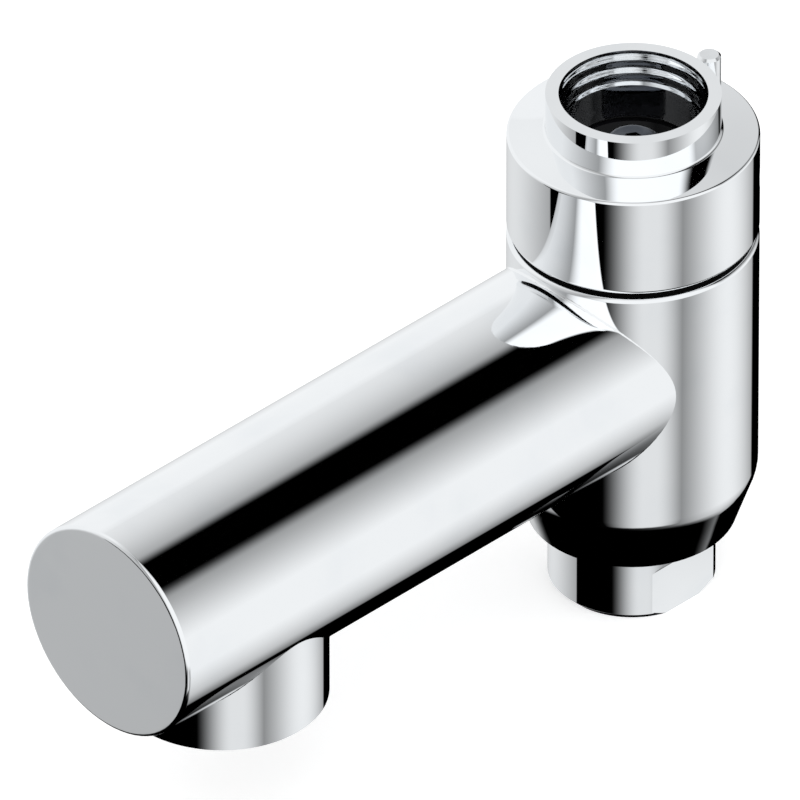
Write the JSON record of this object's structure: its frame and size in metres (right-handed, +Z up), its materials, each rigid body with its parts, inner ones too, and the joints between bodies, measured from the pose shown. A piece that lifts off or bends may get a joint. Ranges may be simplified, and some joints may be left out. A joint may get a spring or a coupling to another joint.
{
  "type": "bath diverter spout",
  "caption": "Chrome swivel bath spout with built-in ceramic diverter: hollow neck and pin on top, closed round spout with an aerator outlet, hose socket with check valve below.",
  "frame": {"origin": "centre of the inlet neck's top rim", "axes": "+Z up along the neck and swivel axis, the spout points along -Y at rest, the locating pin is at +Y, +X to the right"},
  "size_m": [0.042, 0.1435, 0.0974],
  "materials": {
    "chrome": "mirror polished",
    "steel": "bright",
    "rubber": "matte",
    "ceramic": "lapped, satin",
    "black_plastic": "satin",
    "white_plastic": "satin",
    "green_plastic": "satin"
  },
  "bodies": {
    "inlet": {"inlet_collar": "chrome", "locating_pin": "steel", "inlet_gasket": "rubber", "fixed_disc": "ceramic", "centre_screw": "steel", "centre_nut": "steel", "retaining_ring": "steel", "stop_screw": "steel"},
    "spout": {"spout_body": "chrome", "glide_ring": "black_plastic", "swivel_seal": "rubber", "rotating_disc": "ceramic", "port_seal": "rubber", "flow_divider": "white_plastic", "divider_seal_upper": "rubber", "divider_seal_lower": "rubber", "hose_connector": "chrome", "connector_seal": "rubber", "check_valve_housing": "white_plastic", "check_valve_seal": "rubber", "check_valve_spring": "steel", "aerator_housing": "chrome", "aerator_gasket": "rubber", "flow_regulator": "green_plastic", "aerator_insert": "white_plastic", "aerator_mesh": "steel"},
    "poppet": {"check_poppet": "white_plastic", "poppet_seal": "rubber"}
  },
  "joints": [
    {"name": "spout_swivel", "type": "hinge", "parent": "inlet", "child": "spout", "pos_m": [0, 0, -0.0264], "axis": [0, 0, 1], "range_deg": [-90, 90]},
    {"name": "check_valve_lift", "type": "slide", "parent": "spout", "child": "poppet", "axis": [0, 0, -1], "range_m": [0, 0.0025], "stiffness_N_per_m": 60, "springref_m": -0.003, "deforming": ["check_valve_spring"]}
  ]
}
